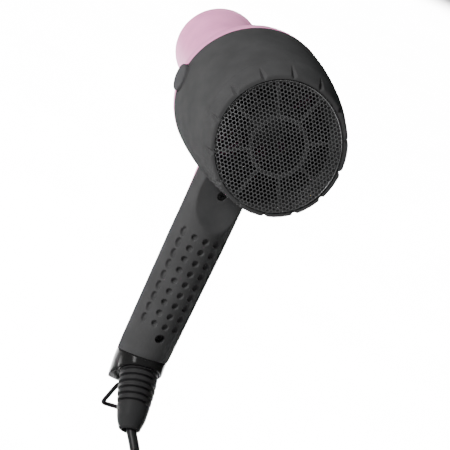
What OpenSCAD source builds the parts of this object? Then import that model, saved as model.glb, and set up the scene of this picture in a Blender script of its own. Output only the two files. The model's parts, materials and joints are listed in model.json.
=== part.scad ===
// Hair dryer: a round barrel on a straight handle, cut into the pieces it is put together from.
// Frame: +X is the way the air leaves, +Z is up, the origin is the middle of the hand grip. Millimetres.

/* [Barrel] */
// Height of the barrel axis above the middle of the grip
axis_z = 125; // [110:1:140]
// Length from the intake rim to the mouth of the nozzle
barrel_len = 198; // [180:1:215]
// Distance from the intake rim to the seam between the two housings
seam_at = 82.6; // [70:0.1:95]
// Outside radius at the intake rim
rim_r = 46; // [42:0.5:50]
// Outside radius at the fullest part
barrel_r = 52.9; // [50:0.1:58]
// Outside radius of the nozzle
nozzle_r = 31; // [28:0.5:34]
// Thickness of the housing walls
wall = 2.4; // [1.8:0.1:3]

/* [Intake] */
// Lean of the intake face, top edge forward
rim_tilt = 13; // [0:1:18]
// Depth of the removable collar
collar_len = 14.5; // [10:0.5:18]
// Radius of the screen
mesh_r = 43.5; // [38:0.5:43.5]
// Number of finger notches round the collar
notch_count = 14; // [8:1:20]

/* [Handle] */
// Radius of the handle at its top
handle_r = 19.5; // [17:0.5:21]
// Radius of the handle at the base cap
handle_low_r = 18.4; // [16:0.1:20]
// Where the front and rear halves of the handle meet
split_x = 6; // [4:0.5:12]
// Rows of grip dimples
dimple_rows = 9; // [5:1:11]
// Spacing of the dimple rows
dimple_pitch = 8.45; // [6:0.05:10]

/* [Controls] */
// Radius of the round side button
button_r = 9.2; // [7:0.1:11]
// Height the button stands proud
button_proud = 3.5; // [3:0.5:6]
// Height of each rocker
rocker_h = 22; // [16:1:26]

/* [Cord] */
// Diameter of the mains lead
cord_d = 7; // [6:0.5:8]
// Length of the strain relief outside the base cap
relief_len = 46; // [30:1:55]

/* [Hidden] */
$fn = 96;

// Space between parts that move apart, and the radial clearance of a pin or a press fit.
gap = 0.3;
fit = 0.05;
// How far a cutter runs past a face, and the size of one that clears away a whole side.
over = 1;
big = 200;
rear_x = -66.5;
seam_x = rear_x + seam_at;
nose_x = rear_x + barrel_len;
collar_tilted = collar_len * cos(rim_tilt);
peak_at = 72;
base_z = -60.5;
base_tilt = 18.2;
relief_base = [-7.9, 0, -73.3];
relief_turn = 225;
cord_r = cord_d / 2;

// Shared outlines -----------------------------------------------------------------------------

// Outside radius of the rear housing at a distance from the rim.
function rear_r(x) = rim_r + (barrel_r - rim_r) * sin(90 * x / peak_at);

// The front housing: a round shoulder, a hollow fillet, then the nozzle.
shoulder_r = 40;
fillet_r = 20;
nozzle_back_r = nozzle_r + 1;
flare_angle = acos(1 - (rear_r(seam_at) - nozzle_back_r) / (shoulder_r + fillet_r));
flare_len = (shoulder_r + fillet_r) * sin(flare_angle);
straight_len = 40;

function shoulder_pt(a) = [rear_r(seam_at) - shoulder_r * (1 - cos(a)), seam_at + shoulder_r * sin(a)];
function fillet_pt(a) = [nozzle_back_r + fillet_r * (1 - cos(a)), seam_at + flare_len - fillet_r * sin(a)];

tail_x = -12;
function rear_outline(inset) = [for (x = [tail_x : 8 : 76]) [rear_r(x) - inset, x],
    [rear_r(seam_at) - inset, seam_at]];
function front_outline(inset) = concat(
    [for (i = [0 : 5]) shoulder_pt(i * flare_angle / 5) - [inset, 0]],
    [for (i = [4 : -1 : 0]) fillet_pt(i * flare_angle / 5) - [inset, 0]],
    [[nozzle_r - inset, barrel_len - straight_len], [nozzle_r - inset, barrel_len]]);

module along_barrel(at = 0) {
    translate([rear_x + at, 0, axis_z])
        rotate([0, 90, 0])
            children();
}

module at_rim() {
    translate([rear_x, 0, axis_z])
        rotate([0, 90 + rim_tilt, 0])
            children();
}

module at_collar_seam() {
    translate([rear_x + collar_len, 0, axis_z])
        rotate([0, 90 + rim_tilt, 0])
            children();
}

module rear_solid(inset) {
    along_barrel()
        rotate_extrude()
            polygon(concat([[0, tail_x]], rear_outline(inset), [[0, seam_at]]));
}

module front_solid(inset) {
    along_barrel()
        rotate_extrude()
            polygon(concat([[0, seam_at]], front_outline(inset), [[0, barrel_len]]));
}

// A tube along the barrel axis.
module barrel_tube(outer, inner, from, len) {
    along_barrel(from)
        difference() {
            cylinder(r = outer, h = len);
            translate([0, 0, -over])
                cylinder(r = inner, h = len + 2 * over);
        }
}

// Flat outlines for the grilles: a ring, and spokes that run out from one radius to another.
module flat_ring(outer, inner) {
    difference() {
        circle(r = outer);
        circle(r = inner);
    }
}

module flat_spokes(count, phase, inner, outer, width) {
    for (i = [0 : count - 1])
        rotate(phase + i * 360 / count)
            translate([inner, -width / 2])
                square([outer - inner, width]);
}

// The handle's outline as radius and height above its foot, from well inside the base cap into the barrel.
handle_foot = -110;
handle_len = 196;
handle_outline = [[handle_low_r - 4, 0], [handle_low_r - 2.6, 18], [handle_low_r - 0.8, 34],
    [handle_low_r, 50], [handle_r, 135], [handle_r, handle_len]];

module handle_solid(inset) {
    translate([0, 0, handle_foot])
        rotate_extrude()
            polygon(concat([[0, 0]], [for (p = handle_outline) p - [inset, 0]], [[0, handle_len]]));
}

// Everything in front of an x.
module in_front_of(x) {
    translate([x, -big, -big])
        cube([big, 2 * big, 2 * big]);
}

// Everything above the slanted joint with the base cap, lifted by a distance.
module above_base(lift) {
    translate([-handle_r, 0, base_z + lift])
        rotate([0, base_tilt, 0])
            translate([-big, -big, 0])
                cube([2 * big, 2 * big, big]);
}

module along_relief(at = 0) {
    translate(relief_base)
        rotate([0, relief_turn, 0])
            translate([0, 0, at])
                children();
}

// A straight round bar between two points.
module bar(a, b, r) {
    d = b - a;
    len = norm(d);
    translate(a)
        rotate([0, acos(d[2] / len), atan2(d[1], d[0])])
            cylinder(r = r, h = len, $fn = 32);
}

// Housings ------------------------------------------------------------------------------------

// The hole through both housings that the leads go up through.
neck_hole_r = 10;
neck_hole_x = 5;
button_hole_r = button_r + 0.6;
// How far the lap at the seam reaches back inside the rear housing, and its wall.
lap_len = 3.5;
lap_wall = 1.8;
lap_bore_r = rear_r(seam_at) - wall;

module neck_hole(r) {
    translate([neck_hole_x, 0, axis_z - 70])
        cylinder(r = r, h = 40);
}

module button_hole() {
    along_button(0)
        cylinder(r = button_hole_r, h = big);
}

module rear_housing() {
    color("dimgray")
        difference() {
            rear_solid(0);
            rear_solid(wall);
            along_barrel(seam_at - lap_len - 0.5)
                cylinder(r = lap_bore_r, h = 10);
            at_collar_seam()
                translate([0, 0, -big])
                    cylinder(r = big, h = big);
            button_hole();
            neck_hole(neck_hole_r);
        }
}

// The two screws that hold the handle cover: heights, where their heads seat, and their radii.
screw_z = [64, -44];
screw_seat_x = [-6.5, -13];
screw_r = 1.55;
screw_head_r = 3;
post_r = 3.6;
post_gap = 3.4;
post_end_x = 18.2;

module screw_posts() {
    for (i = [0, 1])
        translate([screw_seat_x[i] + post_gap, 0, screw_z[i]])
            rotate([0, 90, 0])
                difference() {
                    cylinder(r = post_r, h = post_end_x - screw_seat_x[i] - post_gap);
                    translate([0, 0, -over])
                        cylinder(r = screw_r + fit, h = 14);
                }
}

rocker_z = [22, -8];
rocker_w = 12;
rocker_back_x = 12.5;
rocker_side_gap = 0.5;
rocker_end_gap = 0.9;
rocker_pin_x = 16;
rocker_pin_r = 0.8;
rocker_pin_end = 8;

// The two windows of the rockers and the bores of their pins.
module rocker_openings() {
    for (z = rocker_z) {
        translate([rocker_back_x - 0.5, -rocker_w / 2 - rocker_side_gap, z - rocker_h / 2 - rocker_end_gap])
            cube([20, rocker_w + 2 * rocker_side_gap, rocker_h + 2 * rocker_end_gap]);
        rocker_pin(z, rocker_pin_r + fit, rocker_pin_end + gap);
    }
}

module rocker_pin(z, r, end) {
    translate([rocker_pin_x, -end, z])
        rotate([-90, 0, 0])
            cylinder(r = r, h = 2 * end);
}

module spine() {
    difference() {
        union() {
            intersection() {
                difference() {
                    handle_solid(0);
                    handle_solid(wall);
                }
                in_front_of(split_x);
                above_base(0);
            }
            intersection() {
                screw_posts();
                handle_solid(0.5);
            }
        }
        rear_solid(-gap);
        rocker_openings();
    }
}

// The brow that carries the front of the handle up into the front housing.
brow_r = 15.5;
brow_wall = 3;
brow_len = 60;
brow_foot = [4, 0, 40];
brow_lean = 20;

module brow() {
    difference() {
        intersection() {
            translate(brow_foot)
                rotate([0, brow_lean, 0])
                    difference() {
                        cylinder(r = brow_r, h = brow_len);
                        translate([0, 0, -over])
                            cylinder(r = brow_r - brow_wall, h = brow_len + 2 * over);
                    }
            in_front_of(split_x);
            translate([0, -big, brow_foot[2] + 5])
                cube([big, 2 * big, big]);
        }
        handle_solid(wall);
        rear_solid(-gap);
        front_solid(wall);
    }
}

module front_housing() {
    color("plum")
        difference() {
            union() {
                difference() {
                    front_solid(0);
                    front_solid(wall);
                    along_barrel(barrel_len - over)
                        cylinder(r = nozzle_r - wall, h = 5);
                    along_barrel(seam_at - over)
                        cylinder(r = lap_bore_r, h = 2 * over);
                }
                barrel_tube(lap_bore_r - fit, lap_bore_r - lap_wall, seam_at - lap_len, 8);
                brow();
                spine();
            }
            button_hole();
            along_button(20)
                cylinder(r = guide_r + gap, h = guide_top + 0.4 - 20);
            neck_hole(neck_hole_r - 1);
        }
}

// The hollow for the thumb at the top of the grip.
scoop_r = 38.2;

module scoop(r) {
    translate([-48, -big, 66])
        rotate([-90, 0, 0])
            cylinder(r = r, h = 2 * big);
}

dimple_r = 2.6;
dimple_angles = [-52, -24.5, 0, 24.5, 52];

module dimples() {
    for (row = [0 : dimple_rows - 1])
        for (angle = dimple_angles)
            rotate([0, 0, 180 + angle])
                translate([handle_r + dimple_r / 2, 0, (row - (dimple_rows - 1) / 2) * dimple_pitch - 1])
                    sphere(r = dimple_r, $fn = 24);
}

// Cylinders on the two screw axes of the handle, from a start to an end measured from the screw seats.
module on_screws(r, from, to) {
    for (i = [0, 1])
        translate([screw_seat_x[i] + from, 0, screw_z[i]])
            rotate([0, 90, 0])
                cylinder(r = r, h = to - from);
}

module cover_shell() {
    difference() {
        intersection() {
            handle_solid(0);
            in_front_of(split_x - gap / 2 - big);
            above_base(0);
        }
        difference() {
            handle_solid(wall);
            scoop(scoop_r + wall);
        }
        scoop(scoop_r);
        rear_solid(-gap);
        dimples();
    }
}

module handle_cover() {
    color("dimgray")
        difference() {
            union() {
                cover_shell();
                on_screws(4.8, -3.2, 2.6);
            }
            on_screws(screw_r + 0.25, -5, 5);
            on_screws(screw_head_r + 0.4, -30, 0);
        }
}

// Base cap, strain relief and hanging loop ----------------------------------------------------

relief_neck_r = 8.8;
relief_flange_r = 11;
relief_flange = 2.4;
loop_pivot = [6.2, 0, -95.1];
loop_wire_r = 1.2;
loop_top_y = 4.6;
loop_corner_y = 9.8;
loop_drop = 17.6;
// The lug inside the cap that the loop's ends turn in.
lug_half = 3.2;

// The cap is rounded by a ball, cut square to the strain relief, and has a skirt round the relief's root.
cap_ball_at = [-2, 0, -62];
cap_ball_r = 34.5;
cap_end = 3.5;
skirt_len = 12;
skirt_back_r = 17.5;
skirt_r = 15.6;
socket_r = 13.5;

module cap_block(inset, end) {
    difference() {
        intersection() {
            handle_solid(inset);
            translate(cap_ball_at)
                sphere(r = cap_ball_r - inset);
            along_relief(end - 60)
                cylinder(r = big, h = 60);
        }
        above_base(0);
    }
}

module cap_skirt() {
    difference() {
        along_relief(cap_end - skirt_len)
            cylinder(r1 = skirt_back_r, r2 = skirt_r, h = skirt_len);
        above_base(0);
    }
}

module base_cap() {
    color("black")
        difference() {
            union() {
                difference() {
                    union() {
                        cap_block(0, cap_end);
                        cap_skirt();
                    }
                    cap_block(wall, -wall);
                }
                intersection() {
                    difference() {
                        handle_solid(wall + 0.1);
                        handle_solid(wall + 1.7);
                        above_base(3);
                    }
                    above_base(-3);
                }
                intersection() {
                    translate(loop_pivot - [0, lug_half, 0])
                        rotate([-90, 0, 0])
                            cylinder(r = lug_half, h = 2 * lug_half);
                    handle_solid(0);
                }
                intersection() {
                    cap_block(0, cap_end);
                    translate(loop_pivot - [lug_half, lug_half, 0])
                        cube([2 * lug_half, 2 * lug_half, 10]);
                }
            }
            along_relief(-5)
                cylinder(r = relief_neck_r + fit, h = 8);
            along_relief(0)
                cylinder(r = socket_r, h = 10);
            translate(loop_pivot - [0, 10, 0])
                rotate([-90, 0, 0])
                    cylinder(r = loop_wire_r + fit, h = 20);
        }
}

// The relief's outline as radius and distance from the cap's face.
relief_outline = [[13, 0], [13.4, 9], [12.8, 18], [11.7, 27], [9.7, 39], [6.9, relief_len]];
groove_count = 6;
groove_pitch = 4.4;
groove_w = 1.4;
groove_r = 11.4;

module strain_relief() {
    color("black")
        along_relief()
            difference() {
                rotate_extrude()
                    polygon(concat(
                        [[0, -2 * relief_flange], [relief_flange_r, -2 * relief_flange],
                            [relief_flange_r, -relief_flange - fit], [relief_neck_r, -relief_flange - fit],
                            [relief_neck_r, 0]],
                        relief_outline, [[0, relief_len]]));
                for (i = [0 : groove_count - 1])
                    translate([0, 0, groove_pitch * (i + 1)])
                        difference() {
                            cylinder(r = 15, h = groove_w);
                            translate([0, 0, -over])
                                cylinder(r = groove_r - 0.35 * i, h = groove_w + 2 * over);
                        }
                translate([0, 0, relief_len - 12])
                    cylinder(r = 5.3, h = 20);
                translate([0, 0, -10])
                    cylinder(r = cord_r + fit, h = 80);
            }
}

// A bent wire: a straight bar for each leg, run a radius past each bend so that the bars meet there.
module bent_wire(route, r) {
    for (i = [0 : len(route) - 2]) {
        past = r * unit(route[i + 1] - route[i]);
        bar(route[i] - past, route[i + 1] + past, r);
    }
}

module hanging_loop() {
    x = loop_pivot[0];
    top = loop_pivot[2];
    bottom = top - loop_drop;
    color("black")
        bent_wire([[x, -0.8, top], [x, -loop_top_y, top], [x, -loop_corner_y, bottom],
            [x, loop_corner_y, bottom], [x, loop_top_y, top], [x, 0.8, top]], loop_wire_r);
}

// Intake cover --------------------------------------------------------------------------------

notch_phase = 16;
notch_size = [3, 3, 13];
notch_lean = 10;
// The collar's face is turned down to a cone about the rim's own axis.
lip_r = 46.4;
lip_slope = 0.55;
collar_bore_r = 40;

module notch() {
    translate([rim_r + 1.1, 0, notch_size[2] / 2 + 0.5])
        rotate([0, notch_lean, 0])
            rotate([0, 0, 45])
                cube(notch_size, center = true);
}

module intake_collar() {
    color("dimgray")
        difference() {
            union() {
                intersection() {
                    rear_solid(0);
                    at_collar_seam()
                        translate([0, 0, -collar_tilted])
                            cylinder(r = big, h = collar_tilted - gap);
                    at_rim()
                        cylinder(r1 = lip_r, r2 = lip_r + lip_slope * collar_len, h = collar_len);
                }
                at_collar_seam()
                    translate([0, 0, -over])
                        cylinder(r = mesh_r - 0.1, h = 6);
            }
            along_barrel(-30)
                cylinder(r = collar_bore_r, h = 80);
            at_rim()
                translate([0, 0, -10])
                    cylinder(r = mesh_r + 0.1, h = 13);
            for (i = [0 : notch_count - 1])
                at_rim()
                    rotate([0, 0, notch_phase + i * 360 / notch_count])
                        notch();
        }
}

screen_depth = 1;
screen_thick = 0.8;
hole_pitch = 6.6;
hole_r = 2.3;
hole_rings = 6;

// Place of a hole in a row of the staggered pattern.
function hole_at(row, i) = hole_pitch * [i - (2 * hole_rings - abs(row)) / 2, row * sin(60), 0];

module intake_mesh() {
    color("black")
        at_rim()
            difference() {
                translate([0, 0, screen_depth])
                    cylinder(r = mesh_r, h = screen_thick);
                for (row = [-hole_rings : hole_rings])
                    for (i = [0 : 2 * hole_rings - abs(row)])
                        if (norm(hole_at(row, i)) < mesh_r - 1.5 * hole_r)
                            translate(hole_at(row, i))
                                cylinder(r = hole_r, h = 4, $fn = 24);
            }
}

support_thick = 1.1;
support_ring_r = 20.2;

module mesh_support() {
    color("black")
        at_rim()
            translate([0, 0, screen_depth + screen_thick + fit])
                linear_extrude(height = support_thick) {
                    flat_ring(mesh_r - 0.1, mesh_r - 2.4);
                    flat_ring(support_ring_r, support_ring_r - 2.6);
                    flat_spokes(8, 22.5, support_ring_r - 1.7, mesh_r - 2.2, 1.8);
                }
}

// Fan and motor -------------------------------------------------------------------------------

guard_at = 31.5;
guard_r = 47.9;
fan_at = 38;
fan_r = 36;
fan_hub_r = 13;
blade_count = 9;
blade_pitch = 35;
shaft_r = 1.15;
motor_r = 14;
motor_len = 22;
motor_at = 54;
motor_boss_r = 4;
duct_r = 37.4;
duct_wall = 1.8;
vane_count = 7;
vane_w = 1.6;
leg_w = 2;

module fan_guard() {
    color("black")
        along_barrel(guard_at)
            linear_extrude(height = 2) {
                flat_ring(guard_r, guard_r - 4.9);
                for (r = [10, 20, 30])
                    flat_ring(r + 0.7, r - 0.7);
                flat_spokes(6, 15, 10, guard_r - 4, 1.6);
            }
}

module fan_impeller() {
    color("gray")
        along_barrel(fan_at)
            difference() {
                union() {
                    cylinder(r = fan_hub_r, h = 12);
                    for (i = [0 : blade_count - 1])
                        rotate([0, 0, i * 360 / blade_count])
                            translate([fan_hub_r - 1, 0, 6])
                                rotate([blade_pitch, 0, 0])
                                    translate([0, -0.8, -7])
                                        cube([fan_r - fan_hub_r, 1.6, 14]);
                }
                translate([0, 0, 3])
                    cylinder(r = fan_hub_r - 2, h = 10);
                translate([0, 0, -over])
                    cylinder(r = shaft_r, h = 10);
            }
}

module motor_shaft() {
    color("silver")
        along_barrel(fan_at - 1)
            cylinder(r = shaft_r, h = motor_at + motor_len - fan_at);
}

module motor_can() {
    color("silver")
        along_barrel(motor_at)
            difference() {
                union() {
                    cylinder(r = motor_r, h = motor_len);
                    translate([0, 0, -2])
                        cylinder(r = motor_boss_r, h = motor_len + 4);
                }
                translate([0, 0, -5])
                    cylinder(r = shaft_r + fit, h = 40);
            }
}

module fan_duct() {
    color("dimgray") {
        barrel_tube(duct_r + duct_wall, duct_r, 35.5, 32);
        barrel_tube(motor_r + 1.7, motor_r + fit, motor_at, 15);
        along_barrel(motor_at)
            linear_extrude(height = 12)
                flat_spokes(vane_count, 0, motor_r + 1, duct_r + 1, vane_w);
        along_barrel(46)
            linear_extrude(height = 14)
                flat_spokes(4, 45, duct_r + 1, duct_r + 11.9, leg_w);
    }
}

// Heater --------------------------------------------------------------------------------------

sleeve_r = 28.5;
heater_at = 92;
heater_len = 88;
board_thick = 0.8;
board_half = sleeve_r - 0.9;
coil_count = 11;
coil_pitch = 7;
coil_r = 20;
wire_r = 0.7;
wire_slot = 2;

// Distance of a wire ring along the barrel.
function coil_at(i) = heater_at + 8 + i * coil_pitch;

module heater_boards() {
    color("tan")
        difference() {
            union() {
                translate([rear_x + heater_at, -board_thick / 2, axis_z - board_half])
                    cube([heater_len, board_thick, 2 * board_half]);
                translate([rear_x + heater_at, -board_half, axis_z - board_thick / 2])
                    cube([heater_len, 2 * board_half, board_thick]);
            }
            for (i = [0 : coil_count - 1])
                barrel_tube(coil_r + wire_slot / 2, coil_r - wire_slot / 2,
                    coil_at(i) - wire_slot / 2, wire_slot);
        }
}

module heater_coils() {
    color("silver")
        for (i = [0 : coil_count - 1])
            along_barrel(coil_at(i))
                rotate_extrude()
                    translate([coil_r, 0])
                        circle(r = wire_r, $fn = 24);
}

module mica_sleeve() {
    color("tan")
        barrel_tube(sleeve_r, sleeve_r - 0.8, heater_at - 4, heater_len + 4);
}

module thermostat() {
    color("silver")
        translate([rear_x + heater_at + 10, 4, axis_z + board_thick / 2])
            cube([14, 9, 4]);
}

module thermal_fuse() {
    color("gold")
        translate([rear_x + heater_at + 30, 8, axis_z + 2.2])
            rotate([0, 90, 0])
                cylinder(r = 1.8, h = 11);
}

grille_at = 184;

module outlet_grille() {
    grille_r = nozzle_r - wall - 0.05;
    color("black")
        along_barrel(grille_at)
            linear_extrude(height = 3) {
                flat_ring(grille_r, grille_r - 1.8);
                for (r = [4, 11, 18, 24])
                    flat_ring(r + 0.6, r - 0.6);
                flat_spokes(6, 30, 4, grille_r - 1, 1.2);
            }
}

// Side button ---------------------------------------------------------------------------------

button_x = seam_x - 1.6;
button_top = rear_r(seam_at) + button_proud;
button_back = 42;
dome_r = 24;
stem_r = 1.5;
stem_back = 40;
// The guide cup: where it starts, the top of its floor, its top and its outside radius.
guide_back = 34;
guide_floor = 36;
guide_top = 49.2;
guide_r = button_r + 1.8;

module along_button(at) {
    translate([button_x, at, axis_z])
        rotate([-90, 0, 0])
            children();
}

module side_button() {
    color("gray")
        difference() {
            intersection() {
                along_button(button_back)
                    cylinder(r = button_r, h = button_top - button_back);
                along_button(button_top - dome_r)
                    sphere(r = dome_r);
            }
            along_button(button_back - over)
                cylinder(r = button_r - 1.8, h = 10 + over);
        }
    color("gray")
        along_button(stem_back)
            cylinder(r = stem_r, h = 13);
}

module button_guide() {
    color("dimgray")
        difference() {
            along_button(guide_back)
                cylinder(r = guide_r, h = guide_top - guide_back);
            along_button(guide_floor)
                cylinder(r = button_r + fit, h = 20);
            along_button(guide_back - over)
                cylinder(r = stem_r + 0.5, h = 20);
        }
}

spring_turns = 5;
spring_pitch = 3.75;
spring_r = 5;
spring_wire_r = 0.5;

module button_spring() {
    color("silver")
        for (i = [0 : spring_turns - 1])
            along_button(guide_floor + spring_wire_r + i * spring_pitch)
                rotate_extrude()
                    translate([spring_r, 0])
                        circle(r = spring_wire_r, $fn = 24);
}

// A snap switch behind the guide, with its plunger reaching through the guide's floor.
switch_size = [12, 5.2, 10];

module micro_switch() {
    color("black")
        along_button(guide_back - 0.2 - switch_size[1])
            translate([-switch_size[0] / 2, -switch_size[2] / 2, 0])
                cube([switch_size[0], switch_size[2], switch_size[1]]);
    color("red")
        along_button(guide_back - 0.2)
            cylinder(r = 1.2, h = 3.8);
}

// Handle controls -----------------------------------------------------------------------------

// The rocker's back and its hollow finger face are round about two lines across the handle.
rocker_back_r = 29;
rocker_face_r = 27.5;
rocker_middle_x = 12;
rocker_face_x = 20.5;

module rocker(z) {
    intersection() {
        translate([rocker_back_x, -rocker_w / 2, z - rocker_h / 2])
            cube([12, rocker_w, rocker_h]);
        difference() {
            translate([rocker_middle_x + rocker_back_r, 0, z])
                rotate([90, 0, 0])
                    cylinder(r = rocker_back_r, h = big, center = true);
            translate([rocker_face_x + rocker_face_r, 0, z])
                rotate([90, 0, 0])
                    cylinder(r = rocker_face_r, h = big, center = true);
        }
    }
    rocker_pin(z, rocker_pin_r, rocker_pin_end);
}

module speed_rocker() {
    color("black")
        rocker(rocker_z[0]);
}

module heat_rocker() {
    color("black")
        rocker(rocker_z[1]);
}

switch_block_at = [2, -6.5, -20];
switch_block_size = [9.4, 13, 54];

module switch_block() {
    color("white")
        translate(switch_block_at)
            cube(switch_block_size);
}

board_at = [-6, -8, -28];
board_size = [1.6, 16, 50];
relay_size = [4.4, 8, 5];
relay_z = [-20, -8, 4];

module circuit_board() {
    color("green")
        translate(board_at)
            cube(board_size);
    color("black")
        for (z = relay_z)
            translate([board_at[0] + board_size[0], -relay_size[1] / 2, z])
                cube(relay_size);
}

clamp_back = -15;
clamp_size = [11, 18, 5];
clamp_screw_y = 6.4;
clamp_screw_r = 1.2;

module cord_clamp() {
    color("black")
        along_relief(clamp_back)
            difference() {
                translate([-clamp_size[0] / 2, -clamp_size[1] / 2, 0])
                    cube(clamp_size);
                translate([0, 0, -over])
                    cylinder(r = cord_r + fit, h = 8);
                for (s = [-1, 1])
                    translate([0, s * clamp_screw_y, -over])
                        cylinder(r = clamp_screw_r + fit, h = 8);
            }
}

module clamp_screws() {
    color("silver")
        for (s = [-1, 1])
            along_relief(clamp_back - 2)
                translate([0, s * clamp_screw_y, 0]) {
                    cylinder(r = 2.2, h = 1.9);
                    cylinder(r = clamp_screw_r, h = 7);
                }
}

// A cross-slotted screw: head thickness, length, and the slot's length, width and depth.
screw_head = 2.3;
screw_len = 15;
slot_size = [3.6, 0.8, 1.2];

module housing_screws() {
    color("silver")
        for (i = [0, 1])
            translate([screw_seat_x[i] - screw_head - 0.1, 0, screw_z[i]])
                rotate([0, 90, 0])
                    difference() {
                        union() {
                            cylinder(r = screw_head_r, h = screw_head);
                            cylinder(r = screw_r, h = screw_len);
                        }
                        for (turn = [0, 90])
                            rotate([0, 0, turn])
                                translate([-slot_size[0] / 2, -slot_size[1] / 2, -over])
                                    cube(slot_size + [0, 0, over]);
                    }
}

lead_r = 0.9;

module internal_leads() {
    color("brown")
        for (s = [-1, 1])
            bent_wire([[3, s * 2.2, -55], [-1.5, s * 10.5, -30], [-1.5, s * 10.5, 56], [5, s * 6, 82]],
                lead_r);
}

// Mains lead ----------------------------------------------------------------------------------

// The route from the clamp, through the strain relief and down to the hank.
cord_route = [[5, 0, -60], [-10, 0, -75], [-25, 0, -90], [-32, 0, -97], [-39, -1, -104],
    [-50, -5, -112], [-58, -8, -120], [-63, -10, -130], [-66, -11, -142], [-66, -11, -160],
    [-66, -11, -193]];
// The route from the hank to the plug.
tail_route = [[-66, -19, -255], [-66, -19, -270], [-65, -19, -285], [-60, -19, -299], [-50, -19, -309],
    [-37, -19, -315], [-24, -19, -316]];
tube_sides = 12;

function unit(v) = v / norm(v);
function tangent(path, i) = unit(path[min(i + 1, len(path) - 1)] - path[max(i - 1, 0)]);
function ring(path, i) = let (t = tangent(path, i), side = unit(cross(t, [0, 1, 0])), up = cross(side, t))
    [for (k = [0 : tube_sides - 1]) path[i] + cord_r * (cos(k * 360 / tube_sides) * side
        + sin(k * 360 / tube_sides) * up)];

module tube(path) {
    n = len(path);
    points = [for (i = [0 : n - 1]) each ring(path, i)];
    first_face = [for (k = [tube_sides - 1 : -1 : 0]) k];
    last_face = [for (k = [0 : tube_sides - 1]) (n - 1) * tube_sides + k];
    sides = [for (i = [0 : n - 2]) for (k = [0 : tube_sides - 1])
        [i * tube_sides + k, i * tube_sides + (k + 1) % tube_sides,
            (i + 1) * tube_sides + (k + 1) % tube_sides, (i + 1) * tube_sides + k]];
    polyhedron(points = points, faces = concat([first_face, last_face], sides));
}

hank_c = [-29, -15, -224];
hank_half = 31;
hank_inner = 18.4;
hank_outer = 40.6;
hank_thick = 15;

module stadium(r, h) {
    linear_extrude(height = h) {
        for (s = [-1, 1])
            translate([0, s * hank_half])
                circle(r = r);
        square([2 * r, 2 * hank_half], center = true);
    }
}

module at_hank() {
    translate(hank_c)
        rotate([90, 0, 0])
            children();
}

module power_cord() {
    color("black")
        tube(cord_route);
}

module cord_tail() {
    color("black")
        tube(tail_route);
}

module cord_hank() {
    color("black")
        at_hank()
            translate([0, 0, -hank_thick / 2])
                difference() {
                    stadium(hank_outer, hank_thick);
                    translate([0, 0, -over])
                        stadium(hank_inner, hank_thick + 2 * over);
                }
}

tie_wall = 1.35;
tie_w = 9;

module cord_ties() {
    mid = (hank_inner + hank_outer) / 2;
    bore = [hank_outer - hank_inner + 2 * fit, hank_thick + 2 * fit, tie_w];
    color("black")
        for (s = [-1, 1])
            translate(hank_c + [s * mid, 0, 0])
                difference() {
                    cube(bore + [2 * tie_wall, 2 * tie_wall, 0], center = true);
                    cube(bore + [0, 0, 2 * over], center = true);
                }
}

// The plug: a tapered neck, then a body with rounded sides and a flat face for the pins.
plug_at = tail_route[len(tail_route) - 1];
neck_len = 14;
plug_size = [22, 35, 30];
plug_round_r = 22;
pin_r = 2.4;
pin_len = 17;
pin_spacing = 19;

module mains_plug() {
    color("black")
        translate(plug_at)
            rotate([0, 90, 0]) {
                cylinder(r1 = 5, r2 = 8, h = neck_len);
                translate([0, 0, neck_len - over])
                    intersection() {
                        translate([-plug_size[0] / 2, -plug_size[1] / 2, 0])
                            cube(plug_size);
                        translate([0, 0, neck_len])
                            sphere(r = plug_round_r);
                    }
            }
}

module plug_pins() {
    color("silver")
        for (s = [-1, 1])
            translate(plug_at + [neck_len - over + plug_size[2], s * pin_spacing / 2, 0])
                rotate([0, 90, 0]) {
                    cylinder(r = pin_r, h = pin_len);
                    translate([0, 0, pin_len])
                        sphere(r = pin_r, $fn = 32);
                }
}

rear_housing();
front_housing();
handle_cover();
base_cap();
intake_collar();
intake_mesh();
mesh_support();
fan_guard();
fan_impeller();
motor_shaft();
motor_can();
fan_duct();
heater_boards();
heater_coils();
mica_sleeve();
thermostat();
thermal_fuse();
outlet_grille();
side_button();
button_guide();
button_spring();
micro_switch();
speed_rocker();
heat_rocker();
switch_block();
circuit_board();
cord_clamp();
clamp_screws();
housing_screws();
strain_relief();
hanging_loop();
internal_leads();
power_cord();
cord_hank();
cord_ties();
cord_tail();
mains_plug();
plug_pins();
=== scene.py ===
"""A hair dryer: smooth detailed meshes, materials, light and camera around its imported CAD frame. Metres."""

import json
import math

import bmesh
import bpy
from mathutils import Matrix, Vector


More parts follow.
